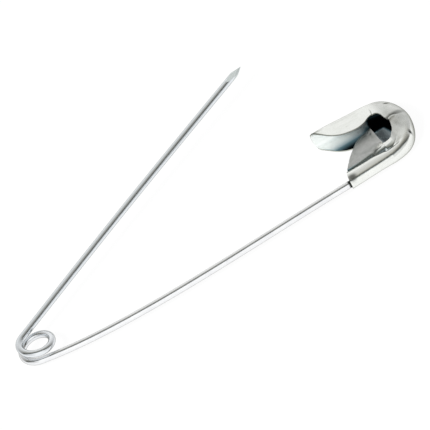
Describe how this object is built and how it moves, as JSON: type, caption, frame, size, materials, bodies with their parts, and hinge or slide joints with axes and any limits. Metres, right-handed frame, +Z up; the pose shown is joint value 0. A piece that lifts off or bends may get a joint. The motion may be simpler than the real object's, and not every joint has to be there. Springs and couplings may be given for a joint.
{
  "type": "safety pin",
  "caption": "Open safety pin: a bright sprung wire with a round coil, a sharp ground point and a folded sheet-metal cap with a guard and a catch.",
  "frame": {"origin": "bottom centre of the bounding box of the pin as it lies open on its back", "axes": "+X along the fixed arm towards the cap, +Y towards the pin arm, +Z up, along the coil's axis"},
  "size_m": [0.1262, 0.0628, 0.0089],
  "materials": {
    "plated_wire": "bright nickel plate on drawn steel wire",
    "plated_sheet": "bright nickel plate on pressed steel sheet"
  },
  "bodies": {
    "root": {"cap": "plated_sheet", "fixed_wire": "plated_wire"},
    "spring": {"spring_coil": "plated_wire"},
    "pin": {"pin_arm": "plated_wire"}
  },
  "joints": [
    {"name": "pin_swing", "type": "hinge", "parent": "root", "child": "spring", "pos_m": [-0.05755, -0.02124, 0.00325], "axis": [0, 0, 1], "range_deg": [-27, 30], "stiffness_Nm_per_rad": 0.4, "deforming": ["spring_coil"]},
    {"name": "pin_side_flex", "type": "hinge", "parent": "spring", "child": "pin", "pos_m": [-0.05766, -0.01624, 0.00655], "axis": [0.4579, -0.889, 0], "range_deg": [-1.8, 1], "stiffness_Nm_per_rad": 0.4}
  ]
}
